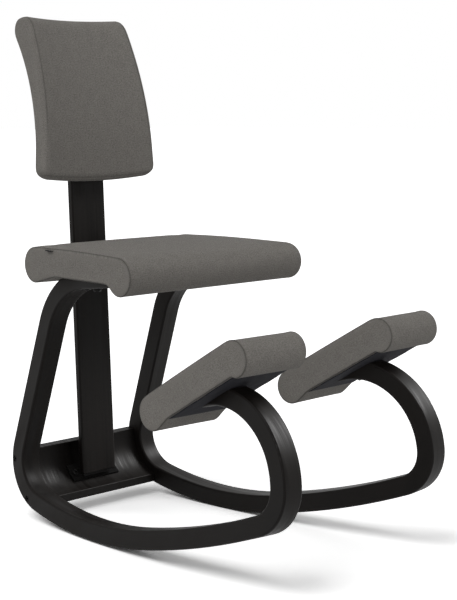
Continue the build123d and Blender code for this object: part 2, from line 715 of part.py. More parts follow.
def back_frame(run):
    """Return the plane across the back pad a run up its rear face: x across, y to the rear."""
    rear = POST_PLANE.location * Pos(0, BACK_START_RISE, BACK_GAP)
    start = rear.position
    lean = radians(POST_LEAN)
    straight = min(run, BACK_STRAIGHT)
    turn = max(run - BACK_STRAIGHT, 0) / BACK_RADIUS
    y = start.Y + straight * sin(lean) + BACK_RADIUS * (cos(lean) - cos(lean + turn))
    z = start.Z + straight * cos(lean) + BACK_RADIUS * (sin(lean + turn) - sin(lean))
    up = Vector(0, sin(lean + turn), cos(lean + turn))
    return Plane(origin=(0, y, z), x_dir=(1, 0, 0), z_dir=up)


def back_half_width(run):
    """Return half the back pad's width a run up from its lower edge."""
    share = run / BACK_LENGTH
    return (BACK_BOTTOM_WIDTH - (BACK_BOTTOM_WIDTH - BACK_TOP_WIDTH) * share) / 2


def back_thickness(run):
    """Return the back pad's thickness a run up from its lower edge."""
    return BACK_BOTTOM_THICKNESS + (BACK_TOP_THICKNESS - BACK_BOTTOM_THICKNESS) * (run / BACK_LENGTH) ** 2.5


def back_section(run, rear, front, margin, crown):
    """Return a hollow-fronted slice of the back between two depths ahead of its rear face."""
    half = back_half_width(run) - margin
    hollow = BACK_HOLLOW * (half / back_half_width(run)) ** 2
    side = (half + crown, -hollow - (rear + front) / 2)
    outline = closed_face([
        ThreePointArc((-half, -hollow - front), (0, -front), (half, -hollow - front)),
        ThreePointArc((half, -hollow - front), side, (half, -hollow - rear)),
        ThreePointArc((half, -hollow - rear), (0, -rear), (-half, -hollow - rear)),
        ThreePointArc((-half, -hollow - rear), (-side[0], side[1]), (-half, -hollow - front)),
    ])
    return back_frame(run) * outline


def make_back_body():
    """Loft the whole back pad: round corners, lower edge eased over, upper edge rolled over."""
    shares = [1 - cos(radians(90 * step / CORNER_STEPS)) for step in range(CORNER_STEPS)]
    runs = [BACK_BOTTOM_ROUND * share for share in shares]
    runs += back_runs(BACK_BOTTOM_ROUND, BACK_LENGTH - BACK_TOP_ROUND)
    runs += [BACK_LENGTH - BACK_TOP_ROUND * share for share in reversed(shares)]
    sections = []
    for run in runs:
        above, below = run, BACK_LENGTH - run
        margin = rounding(BACK_BOTTOM_CORNER, above) + rounding(BACK_TOP_CORNER, below)
        inset = rounding(BACK_BOTTOM_ROUND, above) + rounding(BACK_TOP_ROUND, below)
        sections.append(back_section(run, inset, back_thickness(run) - inset, margin, BACK_SIDE_CROWN))
    return loft(sections, ruled=True)


def rounding(radius, depth):
    """Return how far a quarter round draws in at a depth from its outer end."""
    missing = max(radius - depth, 0)
    return radius - sqrt(radius ** 2 - missing ** 2)


def back_runs(first, last):
    """Return the runs at which the back pad is sliced: its straight part, then steps round its arc."""
    arc = [BACK_STRAIGHT + (last - BACK_STRAIGHT) * step / BACK_STEPS for step in range(BACK_STEPS + 1)]
    return [first] + arc


def make_back_layer(rear, front, gap=0.0):
    """Loft a curved board inside the back pad between two depths ahead of its rear face."""
    margin = BACK_SHELL_MARGIN - gap
    sections = []
    for run in back_runs(margin, BACK_LENGTH - margin):
        sections.append(back_section(run, rear - gap, front + gap, margin, BACK_SHELL_CROWN))
    return loft(sections, ruled=True)


def back_nut_room():
    """Return the holes of a back bolt and its sunk nut, seen from the slat's rear face."""
    above = round_bar(NUT_FLANGE_DIAMETER + 2 * FIT_CLEARANCE, 0, 2 * BACK_NUT_SINK)
    nut_room = Pos(0, 0, BACK_BOLT_LENGTH) * (tee_nut_seat(BACK_NUT_LENGTH) + above)
    return nut_room + bolt_hole(0, BACK_BOLT_LENGTH)


def make_back_shell():
    """Return the curved plywood shell inside the back pad."""
    shell = make_back_layer(BACK_SHELL_COVER, BACK_SHELL_COVER + BACK_SHELL_THICKNESS)
    for place in back_bolt_places():
        shell -= place * back_nut_room()
    return shell


def make_back_cushion():
    """Return the upholstered back pad round its shell, with the holes of its bolts."""
    front = BACK_SHELL_COVER + BACK_SHELL_THICKNESS
    cushion = make_back_body() - make_back_layer(BACK_SHELL_COVER, front, FIT_CLEARANCE)
    for place in back_bolt_places():
        cushion -= place * back_nut_room()
    return cushion


# Fastener groups


def seat_fasteners():
    """Return the seat's bolts, washers and nuts."""
    places = seat_bolt_places()
    bolts = [place * Pos(0, 0, -WASHER_THICKNESS) * button_bolt(SEAT_BOLT_LENGTH) for place in places]
    washers = [place * Pos(0, 0, -WASHER_THICKNESS) * washer() for place in places]
    nuts = [place * Pos(0, 0, SEAT_BOLT_LENGTH) * tee_nut(SEAT_PLATE_THICKNESS) for place in places]
    return both_sides(bolts), both_sides(washers), both_sides(nuts)


def pad_fasteners():
    """Return the knee pads' bolts, washers and nuts."""
    places = pad_bolt_places()
    bolts = [place * Pos(0, 0, -WASHER_THICKNESS) * button_bolt(PAD_BOLT_LENGTH) for place in places]
    washers = [place * Pos(0, 0, -WASHER_THICKNESS) * washer() for place in places]
    nuts = [place * Pos(0, 0, PAD_BOLT_LENGTH) * tee_nut(PAD_PLATE_THICKNESS) for place in places]
    return both_sides(bolts), both_sides(washers), both_sides(nuts)


def panel_fasteners():
    """Return the cross panel's bolts, sunk in the runners' outer sides, and their sleeves."""
    places = panel_bolt_places()
    bolt = button_bolt(PANEL_BOLT_REACH + INSERT_LENGTH, PANEL_BOLT_DIAMETER, PANEL_BOLT_HEAD,
                       PANEL_BOLT_HEAD_HEIGHT)
    sleeve = insert_nut(INSERT_LENGTH, PANEL_INSERT_DIAMETER, PANEL_BOLT_DIAMETER)
    bolts = [place * bolt for place in places]
    inserts = [place * Pos(0, 0, PANEL_BOLT_REACH) * sleeve for place in places]
    return both_sides(bolts), both_sides(inserts)


def foot_fasteners():
    """Return the bracket's screws, the bolts in the slat's foot and their sleeves."""
    screw = button_bolt(BRACKET_THICKNESS + SCREW_LENGTH, SCREW_DIAMETER, SCREW_HEAD_DIAMETER, SCREW_HEAD_HEIGHT)
    screws = [place * screw for place in bracket_screw_places()]
    places = foot_bolt_places()
    bolts = [place * Pos(0, 0, -BRACKET_THICKNESS) * button_bolt(POST_BOLT_LENGTH) for place in places]
    inserts = [place * insert_nut(POST_INSERT_LENGTH) for place in places]
    return screws, bolts, inserts


def back_fasteners():
    """Return the back pad's bolts, washers and nuts."""
    places = back_bolt_places()
    bolts = [place * Pos(0, 0, -WASHER_THICKNESS) * button_bolt(BACK_BOLT_LENGTH) for place in places]
    washers = [place * Pos(0, 0, -WASHER_THICKNESS) * washer() for place in places]
    nuts = [place * Pos(0, 0, BACK_BOLT_LENGTH) * tee_nut(BACK_NUT_LENGTH) for place in places]
    return bolts, washers, nuts


def make_chair():
    """Return every node of the chair by name."""
    runner, pad_plate, pad_cover, pad = make_runner(), make_pad_plate(), make_pad_dust_cover(), make_pad_cushion()
    seat_bolts, seat_washers, seat_nuts = seat_fasteners()
    pad_bolts, pad_washers, pad_nuts = pad_fasteners()
    panel_bolts, panel_inserts = panel_fasteners()
    foot_screws, post_bolts, post_inserts = foot_fasteners()
    back_bolts, back_washers, back_nuts = back_fasteners()
    return {
        "runner_left": [runner],
        "runner_right": [mirrored(runner)],
        "cross_panel": [make_cross_panel()],
        "panel_bolts": panel_bolts,
        "panel_insert_nuts": panel_inserts,
        "back_post": [make_back_post()],
        "post_foot_bracket": [make_foot_bracket()],
        "foot_bracket_screws": foot_screws,
        "post_foot_bolts": post_bolts,
        "post_insert_nuts": post_inserts,
        "seat_plate": [make_seat_plate()],
        "seat_dust_cover": [make_seat_dust_cover()],
        "seat_cushion": [make_seat_cushion()],
        "seat_seam_tag": [seam_tag()],
        "seat_bolts": seat_bolts,
        "seat_bolt_washers": seat_washers,
        "seat_tee_nuts": seat_nuts,
        "knee_pad_plate_left": [pad_plate],
        "knee_pad_plate_right": [mirrored(pad_plate)],
        "knee_pad_dust_cover_left": [pad_cover],
        "knee_pad_dust_cover_right": [mirrored(pad_cover)],
        "knee_pad_cushion_left": [pad],
        "knee_pad_cushion_right": [mirrored(pad)],
        "knee_pad_bolts": pad_bolts,
        "knee_pad_bolt_washers": pad_washers,
        "knee_pad_tee_nuts": pad_nuts,
        "back_shell": [make_back_shell()],
        "back_cushion": [make_back_cushion()],
        "back_bolts": back_bolts,
        "back_bolt_washers": back_washers,
        "back_tee_nuts": back_nuts,
    }


def main():
    """Build the chair, set it over the middle of its footprint and write one file per node."""
    chair = make_chair()
    boxes = [solid.bounding_box() for solids in chair.values() for solid in solids]
    rear, front = max(box.max.Y for box in boxes), min(box.min.Y for box in boxes)
    to_origin = Pos(0, -(rear + front) / 2, -min(box.min.Z for box in boxes))
    os.makedirs("parts", exist_ok=True)
    for name, solids in chair.items():
        placed = [to_origin * solid for solid in solids]
        node = placed[0] if len(placed) == 1 else Compound(children=placed)
        export_step(node, os.path.join("parts", name + ".step"))


main()
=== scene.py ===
"""Looks of the rocking kneeling chair: upholstery, cloth, materials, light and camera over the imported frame.

Named sizes are in metres and named angles in degrees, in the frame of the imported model: the sitter faces -Y
and Z is up.
"""

import json
from collections import namedtuple
from math import atan2, ceil, copysign, cos, hypot, pi, radians, sin, sqrt

import bmesh
import bpy
from mathutils import Matrix, Vector


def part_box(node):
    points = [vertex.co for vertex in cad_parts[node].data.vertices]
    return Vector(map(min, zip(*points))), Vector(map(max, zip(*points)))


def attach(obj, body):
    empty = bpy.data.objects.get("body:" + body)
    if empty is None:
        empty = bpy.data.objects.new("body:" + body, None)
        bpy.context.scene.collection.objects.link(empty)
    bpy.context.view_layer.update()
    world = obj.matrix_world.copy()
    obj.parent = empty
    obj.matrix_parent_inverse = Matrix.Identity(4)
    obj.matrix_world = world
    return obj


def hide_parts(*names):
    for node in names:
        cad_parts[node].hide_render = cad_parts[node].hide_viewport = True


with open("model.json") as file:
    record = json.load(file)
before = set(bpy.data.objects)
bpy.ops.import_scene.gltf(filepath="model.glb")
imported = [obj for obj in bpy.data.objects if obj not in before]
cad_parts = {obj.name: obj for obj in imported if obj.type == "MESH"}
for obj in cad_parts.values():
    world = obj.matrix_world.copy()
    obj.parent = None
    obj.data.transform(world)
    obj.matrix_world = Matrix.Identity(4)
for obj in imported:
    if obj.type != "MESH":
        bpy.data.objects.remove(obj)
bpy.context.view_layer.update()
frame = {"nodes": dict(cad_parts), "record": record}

# Camera, as solved for the photograph, its sensor and lens in millimetres
CAMERA_PLACE = (-1.7915, -1.8248, 0.7356)
CAMERA_YAW = -45.45
CAMERA_PITCH = 7.26
CAMERA_SENSOR = 36.0
CAMERA_LENS = 90.32

# Mesh
MESH_STEP = 0.005
ACROSS_STEP = 0.006
TINY = 1e-6

# Rolled cushions: each end is (place along the length, roll radius, drop, end of the flat underside)
Roll = namedtuple("Roll", "end radius drop flat")
SEAT_REAR = Roll(-0.162, 0.0324, 0.0146, -0.069)
SEAT_FRONT = Roll(0.1443, 0.0330, 0.0172, 0.080)
SEAT_CROWN = 0.006
SEAT_WIDTH = 0.4115
SEAT_REAR_WIDTH = 0.362
SEAT_NARROWING = (SEAT_WIDTH - SEAT_REAR_WIDTH) / 2 / (SEAT_FRONT.end - SEAT_REAR.end)
PAD_REAR = Roll(0.0, 0.0302, 0.007, 0.062)
PAD_FRONT = Roll(0.275, 0.0302, 0.007, 0.232)
PAD_CROWN = 0.0025
PAD_WIDTH = 0.130
PAD_NARROWING = 0.0
PAD_SLOPE = 30.3
PAD_SPLAY = 2.0
PAD_HANDS = ((1, "left"), (-1, "right"))
CHIN_ANGLE = 245.0
BOARD_RECESS = 0.0009
SIDE_CROWN_SHARE = 0.3

# Sewing of the rolled cushions: a sunk groove between eased edges, with painted shade from 0 to 1 in it
SEAM_SINK = 0.0013
SEAM_LIP = 0.0004
SEAM_SHOULDER = 0.0028
SEAM_FADE = 0.0058
# Painted shade: a little on the eased edges, full in the groove
SEAM_EDGE_SHADE = 0.2
SEAM_FULL_SHADE = 1.0
SIDE_PANEL_SHARES = (0.9, 0.75, 0.6, 0.45, 0.3)

# Filling: the covers start a little small and swell up to a limit
SLACK = 0.0008
SWELL_LIMIT = 0.0015
FILL_PRESSURE = 4.0
FILL_FRAMES = 20
CLOTH_QUALITY = 5
CLOTH_MASS = 0.15
CLOTH_STIFFNESS = 30
CLOTH_SHEAR = 15
CLOTH_BENDING = 2
CLOTH_AIR_DAMPING = 2

# Back pad: its rear starts at a point (y, z), runs straight up a lean and then bends to the rear
BACK_START = (0.3008, 0.6076)
BACK_RISE = 0.0035
BACK_LEAN = 2.65
BACK_STRAIGHT = 0.050
BACK_RADIUS = 0.365
BACK_ARC_TURN = 35.6
BACK_LENGTH = BACK_STRAIGHT + BACK_RADIUS * radians(BACK_ARC_TURN)
BACK_BOTTOM_WIDTH = 0.267
BACK_TOP_WIDTH = 0.228
BACK_HOLLOW = 0.011
BACK_BOTTOM_THICKNESS = 0.032
BACK_TOP_THICKNESS = 0.057
BACK_THICKENING_POWER = 2.5
BACK_BOTTOM_ROUND = 0.013
BACK_TOP_REAR_ROUND = 0.022
BACK_TOP_FRONT_ROUND = 0.030
BACK_ROUND_STEPS = 8
BACK_BOTTOM_CORNER = 0.020
BACK_TOP_CORNER = 0.002
BACK_BOTTOM_BOW = 0.008
BACK_TOP_BOW = 0.004
BACK_BOW_REACH = 0.070
BACK_ACROSS_STEPS = 44
BACK_SIDE_STEPS = 5

# Sewing of the back pad: seams at one angle of the front edges, one of the rear edges, and along the bottom
BACK_FRONT_EDGE = 0.011
BACK_FRONT_ANGLES = (8, 18, 28, 48, 68)
BACK_FRONT_SEAM = 18
BACK_REAR_EDGE = 0.006
BACK_REAR_ANGLES = (22.5, 45, 67.5)
BACK_REAR_SEAM = 45
BACK_REAR_MAP_SHIFT = 0.5
BACK_BOTTOM_SEAM = 0.0055
# Painted shade in the back's seams: full along the bottom, and on the edges fading in and out by run
BACK_BOTTOM_SEAM_SHADE = 0.6
BACK_SEAM_SINK = 0.0008
BACK_SEAM_SHADE_STRENGTH = 0.7
BACK_SEAM_START = 0.050
BACK_SEAM_FADE = 0.060
BACK_SEAM_END = 0.012

# Thin cloth
PAD_CLOTH_MARGIN = 0.0035
DUST_CLOTH = 0.0006
DUST_RIPPLE = 0.0003
RIPPLE_WAVES = 9
RIPPLE_SWAY = 2
RIPPLE_SWAY_WAVES = 5
TAG_LENGTH = 0.017
TAG_DEPTH = 0.010
TAG_FOLD = 0.0006
TAG_FOLD_STEPS = 6
TAG_ROWS = 12
TAG_CLOTH = 0.0004
TAG_CURL = 0.0008
TAG_DROOP = 0.0004

# Materials: noise scales are per metre, along each axis where there are three
YARN_SCALE = (300, 520, 1)
PATCH_SCALE = (60, 60, 1)
YARN_SHARE = 0.85
MOTTLE_SHARE = 0.8
# Painted shade in seams: how much the seam attribute darkens cloth, towards a share of its dark colour
SEAM_PAINTED_SHADE = 0.75
SEAM_SHADE_COLOUR_SHARE = 0.35
FINE_GRAIN_SCALE = (260, 6, 6)
BROAD_GRAIN_SCALE = (80, 2.5, 2.5)
FINE_GRAIN_SHARE = 0.6
PLY_GRAIN_SCALE = (180, 8, 600)
SCUFF_SCALE = 900.0
FIBRE_SCALE = 1400.0
FLOOR_SCALE = 3.0
LOW_SPECULAR = 0.09

# Light: each lamp is (direction that it shines from, strength, spread)
Lamp = namedtuple("Lamp", "direction strength spread")
TOP_LAMP = Lamp((-0.70, 0.0, 1.0), 1.15, 35)
BROAD_LAMP = Lamp((-0.50, -0.82, 0.35), 1.2, 80)
SIDE_LAMP = Lamp((-0.80, 0.50, 0.25), 0.4, 80)
GLOSS_LAMP = Lamp((0.70, -0.36, 0.61), 3.6, 24)
SKY_LEVEL = 0.42
BACKDROP_LEVEL = 1.0
FLOOR_SIZE = 80
FLOOR_SEEN = 1.9


# Mesh helpers


def new_piece(name, rings, uvs, seams, caps=True, closed=True):
    """Return an object whose skin joins rings of points, with its cloth map and painted seam shade."""
    count = len(rings[0])
    mesh = bpy.data.meshes.new(name)
    points = [point for ring in rings for point in ring]
    faces = []
    for row in range(len(rings) - 1):
        for column in range(count if closed else count - 1):
            after = (column + 1) % count
            faces.append((row * count + column, row * count + after,
                          (row + 1) * count + after, (row + 1) * count + column))
    if caps:
        last = (len(rings) - 1) * count
        faces.append(tuple(reversed(range(count))))
        faces.append(tuple(range(last, last + count)))
    mesh.from_pydata(points, [], faces)
    shade = mesh.attributes.new("seam", "FLOAT", "POINT")
    shade.data.foreach_set("value", [value for row in seams for value in row])
    layer = mesh.uv_layers.new(name="cloth")
    flat = [uv for ring in uvs for uv in ring]
    for loop in mesh.loops:
        layer.data[loop.index].uv = flat[loop.vertex_index]
    tidy_skin(mesh)
    piece = bpy.data.objects.new(name, mesh)
    bpy.context.scene.collection.objects.link(piece)
    return piece


def tidy_skin(mesh):
    """Cut the caps into triangles, turn every face outward and shade the skin smooth."""
    skin = bmesh.new()
    skin.from_mesh(mesh)
    bmesh.ops.triangulate(skin, faces=[face for face in skin.faces if len(face.verts) > 4])
    bmesh.ops.recalc_face_normals(skin, faces=skin.faces)
    for face in skin.faces:
        face.smooth = True
    skin.to_mesh(mesh)
    skin.free()


def settle(piece, node, matrix):
    """Turn a piece by a matrix and set the middle of its box on the middle of a node's box."""
    piece.data.transform(matrix)
    low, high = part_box(node)
    xs, ys, zs = zip(*[vertex.co for vertex in piece.data.vertices])
    middle = Vector(((min(xs) + max(xs)) / 2, (min(ys) + max(ys)) / 2, (min(zs) + max(zs)) / 2))
    piece.data.transform(Matrix.Translation((Vector(low) + Vector(high)) / 2 - middle))


def fill(piece, sewn):
    """Swell a cover by pressure from inside, with its sewn points held, and keep the result in its mesh."""
    group = piece.vertex_groups.new(name="sewn")
    group.add(sewn, 1.0, "REPLACE")
    cloth = piece.modifiers.new("filling", "CLOTH")
    settings = cloth.settings
    settings.quality = CLOTH_QUALITY
    settings.mass = CLOTH_MASS
    settings.tension_stiffness = CLOTH_STIFFNESS
    settings.compression_stiffness = CLOTH_STIFFNESS
    settings.shear_stiffness = CLOTH_SHEAR
    settings.bending_stiffness = CLOTH_BENDING
    settings.air_damping = CLOTH_AIR_DAMPING
    settings.use_pressure = True
    settings.uniform_pressure_force = FILL_PRESSURE
    settings.vertex_group_mass = "sewn"
    settings.effector_weights.gravity = 0
    cloth.collision_settings.use_collision = False
    cloth.point_cache.frame_start = 1
    cloth.point_cache.frame_end = FILL_FRAMES
    for step in range(1, FILL_FRAMES + 1):
        bpy.context.scene.frame_set(step)
    swollen = piece.evaluated_get(bpy.context.evaluated_depsgraph_get())
    places = [vertex.co.copy() for vertex in swollen.data.vertices]
    piece.modifiers.remove(cloth)
    piece.vertex_groups.remove(group)
    for vertex, place in zip(piece.data.vertices, places):
        move = place - vertex.co
        if move.length > SWELL_LIMIT:
            move *= SWELL_LIMIT / move.length
        vertex.co += move
    bpy.context.scene.frame_set(1)


def add_subdivision(piece):
    """Smooth a piece's skin by one subdivision."""
    modifier = piece.modifiers.new("smooth", "SUBSURF")
    modifier.levels = 1
    modifier.render_levels = 1


def thicken(piece, thickness):
    """Give thin cloth its two faces."""
    modifier = piece.modifiers.new("thickness", "SOLIDIFY")
    modifier.thickness = thickness
    modifier.offset = 0


def arc(centre, radius, first, last):
    """Return evenly spaced points of an arc, its end left out."""
    steps = max(2, ceil(radians(abs(last - first)) * radius / MESH_STEP))
    angles = [radians(first + (last - first) * step / steps) for step in range(steps)]
    return [(centre[0] + radius * cos(angle), centre[1] + radius * sin(angle)) for angle in angles]


def line(start, end, bulge=0.0):
    """Return evenly spaced points of a line with an even bulge to its left, its end left out."""
    along = (end[0] - start[0], end[1] - start[1])
    length = hypot(*along)
    steps = max(1, ceil(length / MESH_STEP))
    left = (-along[1] / length, along[0] / length)
    points = []
    for step in range(steps):
        share = step / steps
        rise = 4 * bulge * share * (1 - share)
        points.append((start[0] + share * along[0] + rise * left[0],
                       start[1] + share * along[1] + rise * left[1]))
    return points


def softened(points, rounds=2):
    """Return a closed outline with its sharp turns eased."""
    for _ in range(rounds):
        before = points[-1:] + points[:-1]
        after = points[1:] + points[:1]
        points = [((a[0] + 2 * p[0] + b[0]) / 4, (a[1] + 2 * p[1] + b[1]) / 4)
                  for a, p, b in zip(before, points, after)]
    return points


def run_lengths(points):
    """Return the running length of an outline at each of its points."""
    lengths = [0.0]
    for before, after in zip(points, points[1:]):
        lengths.append(lengths[-1] + hypot(after[0] - before[0], after[1] - before[1]))
    return lengths


# Seat and knee pads

# A ring of a cushion's skin: place across, share of the way to the core line, inset and painted seam shade
Ring = namedtuple("Ring", "place share inset shade")


def cushion_outline(rear, front, crown):
    """Return a rolled cushion's side outline, forward and up from its board, and its core line."""
    tail = (rear.end + rear.radius, rear.radius - rear.drop)
    nose = (front.end - front.radius, front.radius - front.drop)
    top_rear, top_front = (tail[0], tail[1] + rear.radius), (nose[0], nose[1] + front.radius)
    chin = radians(CHIN_ANGLE)
    chin_point = (nose[0] + front.radius * cos(chin), nose[1] + front.radius * sin(chin))
    hip = (tail[0], tail[1] - rear.radius)
    flat_rear, flat_front = (rear.flat, BOARD_RECESS), (front.flat, BOARD_RECESS)
    points = arc(tail, rear.radius, 90, 270)
    points += line(hip, flat_rear) + line(flat_rear, flat_front) + line(flat_front, chin_point)
    points += arc(nose, front.radius, CHIN_ANGLE - 360, 90)
    points += line(top_front, top_rear, -crown)
    return softened(points), (tail, nose)


def toward_core(point, core):
    """Return the vector from an outline point to the nearest point of the cushion's core line."""
    tail, nose = core
    along = (nose[0] - tail[0], nose[1] - tail[1])
    reach = (point[0] - tail[0]) * along[0] + (point[1] - tail[1]) * along[1]
    share = min(max(reach / (along[0] ** 2 + along[1] ** 2), 0), 1)
    return tail[0] + share * along[0] - point[0], tail[1] + share * along[1] - point[1]


def side_rings(half, slack):
    """Return the rings of a side, from its middle out and over its seam."""
    panel = [Ring(half - slack, share, 0.0, 0.0) for share in SIDE_PANEL_SHARES]
    # Painted seam shade: a little on the eased edges, full in the sunk groove
    return panel + [
        Ring(half - slack, 0.0, SEAM_FADE, 0.0),
        Ring(half - SEAM_LIP, 0.0, SEAM_SHOULDER, SEAM_EDGE_SHADE),
        Ring(half - SEAM_SINK, 0.0, SEAM_SINK, SEAM_FULL_SHADE),
        Ring(half - SEAM_SHOULDER, 0.0, SEAM_LIP, SEAM_EDGE_SHADE),
        Ring(half - SEAM_FADE, 0.0, slack, 0.0),
    ]


def cushion_rings(half, slack):
    """Return all rings of a cushion from one side to the other."""
    near = side_rings(half, slack)
    reach = half - SEAM_FADE
    steps = ceil(2 * reach / ACROSS_STEP)
    middle = [Ring(reach - 2 * reach * step / steps, 0.0, slack, 0.0) for step in range(1, steps)]
    far = [ring._replace(place=-ring.place) for ring in reversed(near)]
    return near + middle + far


def rolled_cushion(name, rear, front, width, narrowing, crown):
    """Return a cushion with rolled ends and a sunk seam round each flat side, and its sewn points."""
    outline, core = cushion_outline(rear, front, crown)
    side_outline, _ = cushion_outline(rear, front, crown * SIDE_CROWN_SHARE)
    half = width / 2
    slack = SLACK
    lengths = run_lengths(outline)
    on_board = [rear.flat <= u <= front.flat and w < 2 * BOARD_RECESS for u, w in outline]
    rings, uvs, seams, sewn = [], [], [], []
    for place, share, inset, shade in cushion_rings(half, slack):
        ring = []
        fall = (place / half) ** 2
        for crest, edge, flat in zip(outline, side_outline, on_board):
            point = (crest[0], crest[1] + fall * (edge[1] - crest[1]))
            core_step = toward_core(point, core)
            held_inset = 0.0 if flat and inset == slack else inset
            part = share + held_inset / max(hypot(*core_step), SEAM_SINK)
            forward = point[0] + part * core_step[0]
            across = place * (1 - narrowing * (front.end - forward) / half)
            if flat or shade == SEAM_FULL_SHADE:
                sewn.append(len(rings) * len(outline) + len(ring))
            ring.append((-across, -forward, point[1] + part * core_step[1]))
        rings.append(ring)
        uvs.append([(place, length) for length in lengths] if share == 0 else [(p[1], p[2]) for p in ring])
        seams.append([shade] * len(ring))
    return new_piece(name, rings, uvs, seams), sewn


# Back pad


def rounding(radius, depth):
    """Return how far a quarter round draws in at a depth from its outer end."""
    missing = max(radius - depth, 0)
    return radius - sqrt(radius ** 2 - missing ** 2)


def back_place(run):
    """Return the rear face's (y, z) and its lean in radians, a run up the back pad."""
    lean = radians(BACK_LEAN)
    run += BACK_RISE
    straight = min(run, BACK_STRAIGHT)
    turn = lean + max(run - BACK_STRAIGHT, 0) / BACK_RADIUS
    y = BACK_START[0] + straight * sin(lean) + BACK_RADIUS * (cos(lean) - cos(turn))
    z = BACK_START[1] + straight * cos(lean) + BACK_RADIUS * (sin(turn) - sin(lean))
    return y, z, turn


def back_runs():
    """Return the runs of the back pad's rings, close together where its ends round over."""
    shares = [1 - cos(pi / 2 * step / BACK_ROUND_STEPS) for step in range(BACK_ROUND_STEPS)]
    low = [BACK_BOTTOM_ROUND * share for share in shares]
    high = [BACK_LENGTH - BACK_TOP_FRONT_ROUND * share for share in shares]
    first, last = BACK_BOTTOM_ROUND, BACK_LENGTH - BACK_TOP_FRONT_ROUND
    count = ceil((last - first) / MESH_STEP)
    return low + [first + (last - first) * step / count for step in range(count + 1)] + high[::-1]


def seam_at(angle, seam_angle, radius):
    """Return an edge's radius and painted shade at an angle, sunk and painted darkest where its seam is."""
    if angle == seam_angle:
        return radius - BACK_SEAM_SINK, SEAM_FULL_SHADE
    return radius, SEAM_EDGE_SHADE


def back_slice(half, low, high):
    """Return (across, depth, painted seam shade) round a slice: front, right edge, rear, left edge."""
    front = min(BACK_FRONT_EDGE, (high - low) / 2)
    rear = min(BACK_REAR_EDGE, (high - low) / 2)
    front_half, rear_half = half - front, half - rear
    edge = []
    for angle in BACK_FRONT_ANGLES:
        reach, shade = seam_at(angle, BACK_FRONT_SEAM, front)
        turn = radians(angle)
        edge.append((front_half + reach * sin(turn), high - front + reach * cos(turn), shade))
    for step in range(BACK_SIDE_STEPS + 1):
        edge.append((half, high - front - (high - front - low - rear) * step / BACK_SIDE_STEPS, 0.0))
    for angle in BACK_REAR_ANGLES:
        reach, shade = seam_at(angle, BACK_REAR_SEAM, rear)
        turn = radians(angle)
        edge.append((rear_half + reach * cos(turn), low + rear - reach * sin(turn), shade))
    steps = range(BACK_ACROSS_STEPS + 1)
    front_face = [(-front_half + 2 * front_half * step / BACK_ACROSS_STEPS, high, 0.0) for step in steps]
    rear_face = [(rear_half - 2 * rear_half * step / BACK_ACROSS_STEPS, low, 0.0) for step in steps]
    left_edge = [(-across, depth, shade) for across, depth, shade in reversed(edge)]
    return front_face + edge + rear_face + left_edge


def back_seam_painted_shade(above, below):
    """Return the edge seams' painted shade strength: none near the bottom, then growing, and fading out at the
    top.
    """
    growing = max(above - BACK_SEAM_START, 0) / BACK_SEAM_FADE
    return BACK_SEAM_SHADE_STRENGTH * min(1, growing, below / BACK_SEAM_END)


def back_pad(name):
    """Return the back pad, hollow across and bent to the rear, with sunk seams, and its sewn points."""
    rings, uvs, seams, sewn = [], [], [], []
    runs = back_runs()
    bottom_seam = min(runs, key=lambda run: abs(run - BACK_BOTTOM_SEAM))
    for run in runs:
        above, below = run, BACK_LENGTH - run
        share = run / BACK_LENGTH
        width = BACK_BOTTOM_WIDTH - (BACK_BOTTOM_WIDTH - BACK_TOP_WIDTH) * share
        thickening = (BACK_TOP_THICKNESS - BACK_BOTTOM_THICKNESS) * share ** BACK_THICKENING_POWER
        thickness = BACK_BOTTOM_THICKNESS + thickening
        margin = rounding(BACK_BOTTOM_CORNER, above) + rounding(BACK_TOP_CORNER, below)
        lower = rounding(BACK_BOTTOM_ROUND, above)
        low = lower + rounding(BACK_TOP_REAR_ROUND, below)
        high = thickness - lower - rounding(BACK_TOP_FRONT_ROUND, below)
        bow = BACK_TOP_BOW * max(1 - below / BACK_BOW_REACH, 0) ** 2
        bow -= BACK_BOTTOM_BOW * max(1 - above / BACK_BOW_REACH, 0) ** 2
        # Painted shade of this ring's seams: full at the bottom seam, elsewhere growing and fading along the
        # run
        strength = BACK_SEAM_SHADE_STRENGTH if run == bottom_seam else back_seam_painted_shade(above, below)
        y, z, turn = back_place(run)
        outline = back_slice(width / 2 - margin, low, high)
        ring, uv, seam = [], [], []
        for across, depth, shade in outline:
            map_shift = copysign(high - depth, across) if depth > low + TINY else BACK_REAR_MAP_SHIFT
            spread = (2 * across / width) ** 2
            rise = bow * (1 - spread)
            # The bottom seam is sunk and painted with shade on the front half of the thickness
            if run == bottom_seam and depth > thickness / 2:
                depth -= BACK_SEAM_SINK
                shade = max(shade, BACK_BOTTOM_SEAM_SHADE)
            # The seams are held, and so is the third of the thickness that lies against the shell
            if shade == SEAM_FULL_SHADE or depth < thickness / 3:
                sewn.append(len(rings) * len(outline) + len(ring))
            ahead = BACK_HOLLOW * spread + depth
            ring.append((across, y - ahead * cos(turn) + rise * sin(turn),
                         z + ahead * sin(turn) + rise * cos(turn)))
            uv.append((across + map_shift, run))
            seam.append(shade * strength)
        rings.append(ring)
        uvs.append(uv)
        seams.append(seam)
    return new_piece(name, rings, uvs, seams), sewn


# Thin cloth


